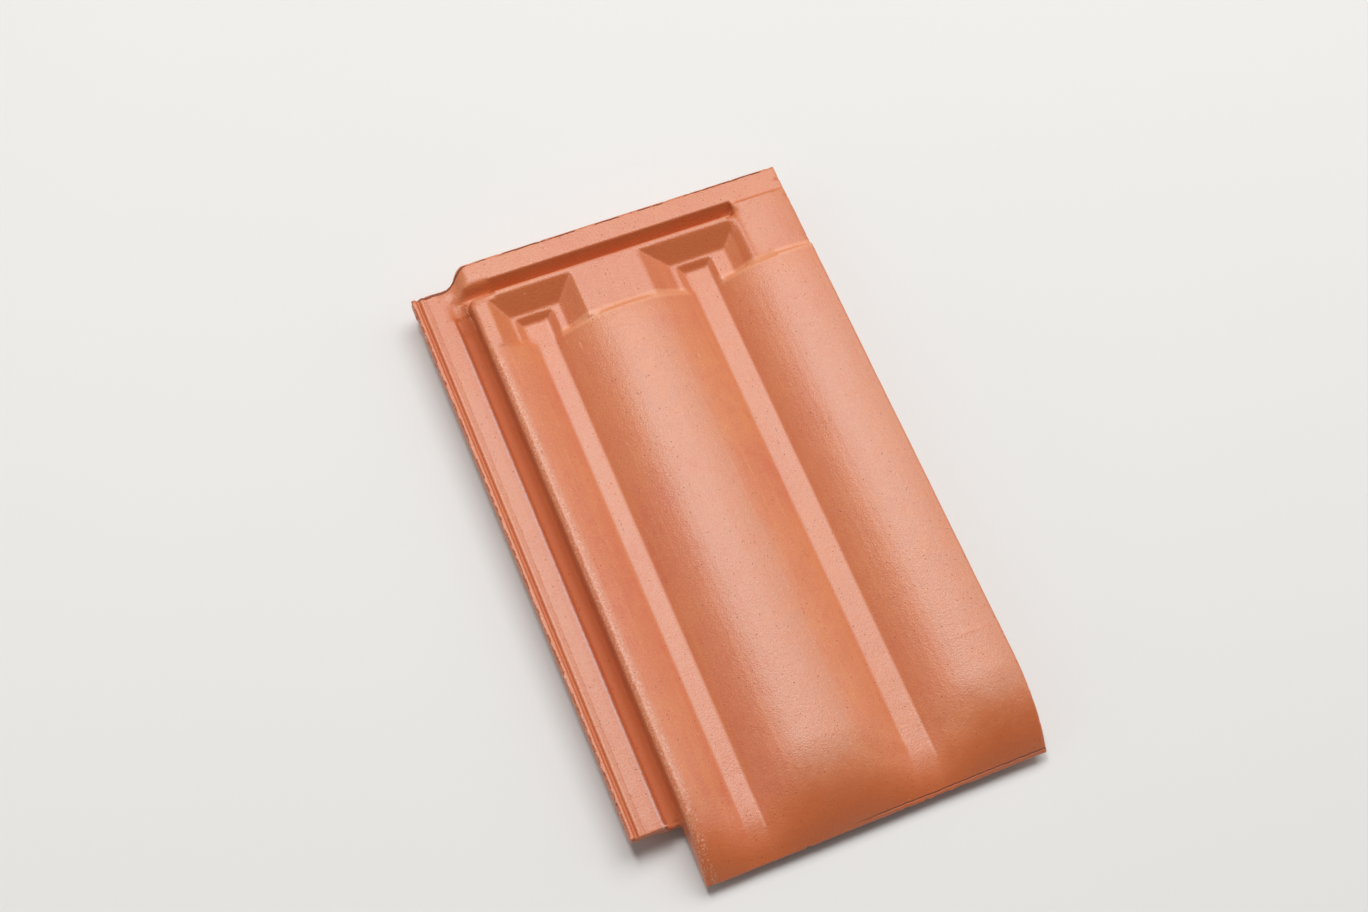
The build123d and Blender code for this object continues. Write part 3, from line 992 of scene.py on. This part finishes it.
@dataclass
class RoofTile:
    """The tile, pressed and fired as one piece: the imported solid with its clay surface."""

    node: str = "roof_tile"
    body: str = "root"
    slot: str = "fired_clay"
    relief_name: str = "relief"
    voxel: float = 0.8 * MM
    soften_passes: int = 3
    relief_passes: int = 20
    rounding_passes: int = 120
    relief_full: float = 0.6
    floor_clearance: tuple = (0.2, 1.0)
    triangles: int = 190_000
    groove: MainGroove = MainGroove()
    skin: PressedSkin = PressedSkin()
    piece: bpy.types.Object | None = field(default=None, init=False)

    def build(self) -> bpy.types.Object:
        """Makes the tile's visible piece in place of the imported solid.

        Returns:
            The piece.
        """
        self.piece = self._copy_solid()
        self._open_groove()
        self._apply("REMESH", mode="VOXEL", voxel_size=self.voxel)
        self._apply("SMOOTH", factor=0.5, iterations=self.soften_passes)
        self._work_surface()
        self._store_relief()
        self._apply("TRIANGULATE")
        count = len(self.piece.data.polygons)
        LOG.info("clay surface: %d triangles before thinning", count)
        self._apply("DECIMATE", ratio=self.triangles / count)
        # Thinning can carry a vertex a little way out of the box, and writing cuts it back
        self._write(self._read(self.piece.data, "co"))
        self.piece.data.shade_smooth()
        self.piece.data.materials.append(FiredClay().make(self.relief_name))
        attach(self.piece, self.body)
        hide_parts(self.node)
        return self.piece

    def _copy_solid(self) -> bpy.types.Object:
        """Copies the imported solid, with its loose triangles merged.

        Returns:
            The copy, at the origin.
        """
        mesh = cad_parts[self.node].data.copy()
        work = bmesh.new()
        work.from_mesh(mesh)
        bmesh.ops.remove_doubles(work, verts=work.verts, dist=0.001 * MM)
        work.to_mesh(mesh)
        work.free()
        mesh.materials.clear()
        piece = bpy.data.objects.new("clay_tile", mesh)
        bpy.context.scene.collection.objects.link(piece)
        return piece

    def _open_groove(self) -> None:
        """Cuts the main groove's left wall down from the band."""
        block = self.groove.make_block()
        mesh = block.data
        self._apply("BOOLEAN", operation="DIFFERENCE", solver="EXACT", object=block)
        bpy.data.objects.remove(block)
        bpy.data.meshes.remove(mesh)

    def _apply(self, kind: str, **settings: object) -> None:
        """Applies one modifier to the piece.

        Args:
            kind: The modifier's type.
            settings: Its settings.
        """
        self.piece.data = self._modified(kind, **settings)

    def _modified(self, kind: str, **settings: object) -> bpy.types.Mesh:
        """Gives the piece's mesh as one modifier changes it.

        Args:
            kind: The modifier's type.
            settings: Its settings.

        Returns:
            The changed mesh.
        """
        modifier = self.piece.modifiers.new(kind.lower(), kind)
        for key, value in settings.items():
            setattr(modifier, key, value)
        graph = bpy.context.evaluated_depsgraph_get()
        done = bpy.data.meshes.new_from_object(self.piece.evaluated_get(graph))
        self.piece.modifiers.clear()
        return done

    @staticmethod
    def _read(mesh: bpy.types.Mesh, name: str) -> np.ndarray:
        """Reads a vector of every vertex, such as its place or its normal.

        Args:
            mesh: The mesh.
            name: The vector's name, such as co or normal.

        Returns:
            The vectors, one a row.
        """
        values = np.empty(len(mesh.vertices) * 3, np.float32)
        mesh.vertices.foreach_get(name, values)
        return values.reshape(-1, 3).astype(float)

    def _write(self, points: np.ndarray) -> None:
        """Moves the piece's vertices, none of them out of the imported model's box.

        Args:
            points: Their new places in metres, one a row.
        """
        low, high = CAD_BOX
        kept = np.clip(points, np.array(low), np.array(high))
        self.piece.data.vertices.foreach_set("co", kept.astype(np.float32).ravel())
        self.piece.data.update()

    def _softened(self, passes: int) -> np.ndarray:
        """Gives the places of the piece's vertices on a softened copy of its surface.

        Args:
            passes: How often the copy is smoothed.

        Returns:
            The places in metres, one a row.
        """
        soft = self._modified("SMOOTH", factor=0.5, iterations=passes)
        points = self._read(soft, "co")
        bpy.data.meshes.remove(soft)
        return points

    def _relief(self) -> np.ndarray:
        """Measures how far each vertex stands out from the softened surface.

        Returns:
            The height in millimetres, below nothing in a corner.
        """
        points = self._read(self.piece.data, "co")
        outwards = self._read(self.piece.data, "normal")
        return np.sum((points - self._softened(self.relief_passes)) * outwards, axis=1) / MM

    def _work_surface(self) -> None:
        """Rounds, warps, ripples, breaks and marks the pressed faces."""
        points = self._read(self.piece.data, "co")
        outwards = self._read(self.piece.data, "normal")
        places = Drawing().places(points)
        height = points[:, 2] / MM
        soft = self._softened(self.rounding_passes)
        push = self.skin.push(places, self._relief()) * smooth_step(height, *self.floor_clearance)
        lift = self.skin.sag(places, height) + self.groove.cove(places)
        moved = points + (soft - points) * self.skin.rounding(places)[:, None]
        moved += outwards * push[:, None] * MM
        moved[:, 2] += lift * MM
        self._write(moved)

    def _store_relief(self) -> None:
        """Keeps the relief with the mesh, where the material reads it."""
        heights = np.clip(self._relief() / self.relief_full, -1, 1)
        layer = self.piece.data.attributes.new(self.relief_name, "FLOAT", "POINT")
        layer.data.foreach_set("value", heights.astype(np.float32))


@dataclass(frozen=True)
class Softbox:
    """A studio lamp behind a cloth, wide across the tile, that faces the tile's middle."""

    name: str
    direction: tuple
    distance: float
    wide: float
    deep: float
    level: float
    colour: tuple = (1.0, 1.0, 1.0)

    def place(self, aim: Vector) -> None:
        """Hangs the lamp.

        Args:
            aim: The point that it faces.
        """
        lamp = bpy.data.lights.new(self.name, "AREA")
        lamp.shape = "RECTANGLE"
        lamp.size = self.wide
        lamp.size_y = self.deep
        lamp.energy = self.level * (np.pi * self.distance) ** 2
        lamp.color = self.colour
        holder = bpy.data.objects.new(self.name, lamp)
        away = Vector(self.direction).normalized()
        deep_axis = away.cross((1, 0, 0)).normalized()
        turn = Matrix((deep_axis.cross(away), deep_axis, away)).transposed()
        holder.matrix_world = Matrix.Translation(aim + away * self.distance) @ turn.to_4x4()
        holder.visible_camera = False
        bpy.context.scene.collection.objects.link(holder)


@dataclass(frozen=True)
class Viewpoint:
    """The photograph's view of the weather face, through a 55 mm lens."""

    lens: float = 55.0
    sensor: float = 36.0
    location: tuple = (-0.3001, -0.4105, 1.2212)
    aim: tuple = (-0.0051, 0.0426, 0.0200)
    upright: tuple = (0.322, 0.857, 0.402)

    def place(self) -> None:
        """Makes the scene's camera."""
        camera = bpy.data.cameras.new("camera")
        camera.lens = self.lens
        camera.sensor_width = self.sensor
        holder = bpy.data.objects.new("camera", camera)
        back = (Vector(self.location) - Vector(self.aim)).normalized()
        right = Vector(self.upright).cross(back).normalized()
        turn = Matrix((right, back.cross(right), back)).transposed()
        holder.matrix_world = Matrix.Translation(self.location) @ turn.to_4x4()
        bpy.context.scene.collection.objects.link(holder)
        bpy.context.scene.camera = holder


@dataclass
class Studio:
    """A plain pale floor under soft lamps."""

    floor_size: float = 12.0
    sky_level: float = 0.16
    sky_colour: tuple = (1.0, 0.98, 0.96)
    lamps: tuple = (
        Softbox("top_softbox", (0.20, 0.34, 0.88), 3.4, 3.1, 2.0, 0.74),
        Softbox("hot_softbox", (-0.14, 0.30, 0.92), 3.4, 0.60, 0.90, 0.27),
        Softbox("left_softbox", (-0.85, 0.10, 0.52), 2.6, 2.0, 2.0, 0.10),
        Softbox("right_softbox", (0.85, 0.05, 0.52), 2.6, 1.6, 1.6, 0.12),
    )

    def build(self) -> None:
        """Makes the floor, the lamps and the even light of the room."""
        mesh = bpy.data.meshes.new("floor")
        work = bmesh.new()
        bmesh.ops.create_grid(work, x_segments=1, y_segments=1, size=self.floor_size / 2)
        work.to_mesh(mesh)
        work.free()
        mesh.materials.append(FloorPaint().make())
        floor = bpy.data.objects.new("floor", mesh)
        bpy.context.scene.collection.objects.link(floor)
        low, high = CAD_BOX
        for lamp in self.lamps:
            lamp.place((low + high) / 2)
        world = bpy.data.worlds.new("studio")
        world.use_nodes = True
        sky = world.node_tree.nodes["Background"]
        sky.inputs["Color"].default_value = (*self.sky_colour, 1.0)
        sky.inputs["Strength"].default_value = self.sky_level
        bpy.context.scene.world = world
        bpy.context.scene.view_settings.view_transform = "Standard"


def main() -> None:
    """Builds the camera, the tile and the studio, and reports the tile's triangles."""
    logging.basicConfig(level=logging.INFO, format="%(name)s: %(message)s")
    Viewpoint().place()
    piece = RoofTile().build()
    LOG.info("%s: %d triangles", piece.name, len(piece.data.polygons))
    Studio().build()


if __name__ == "__main__":
    main()
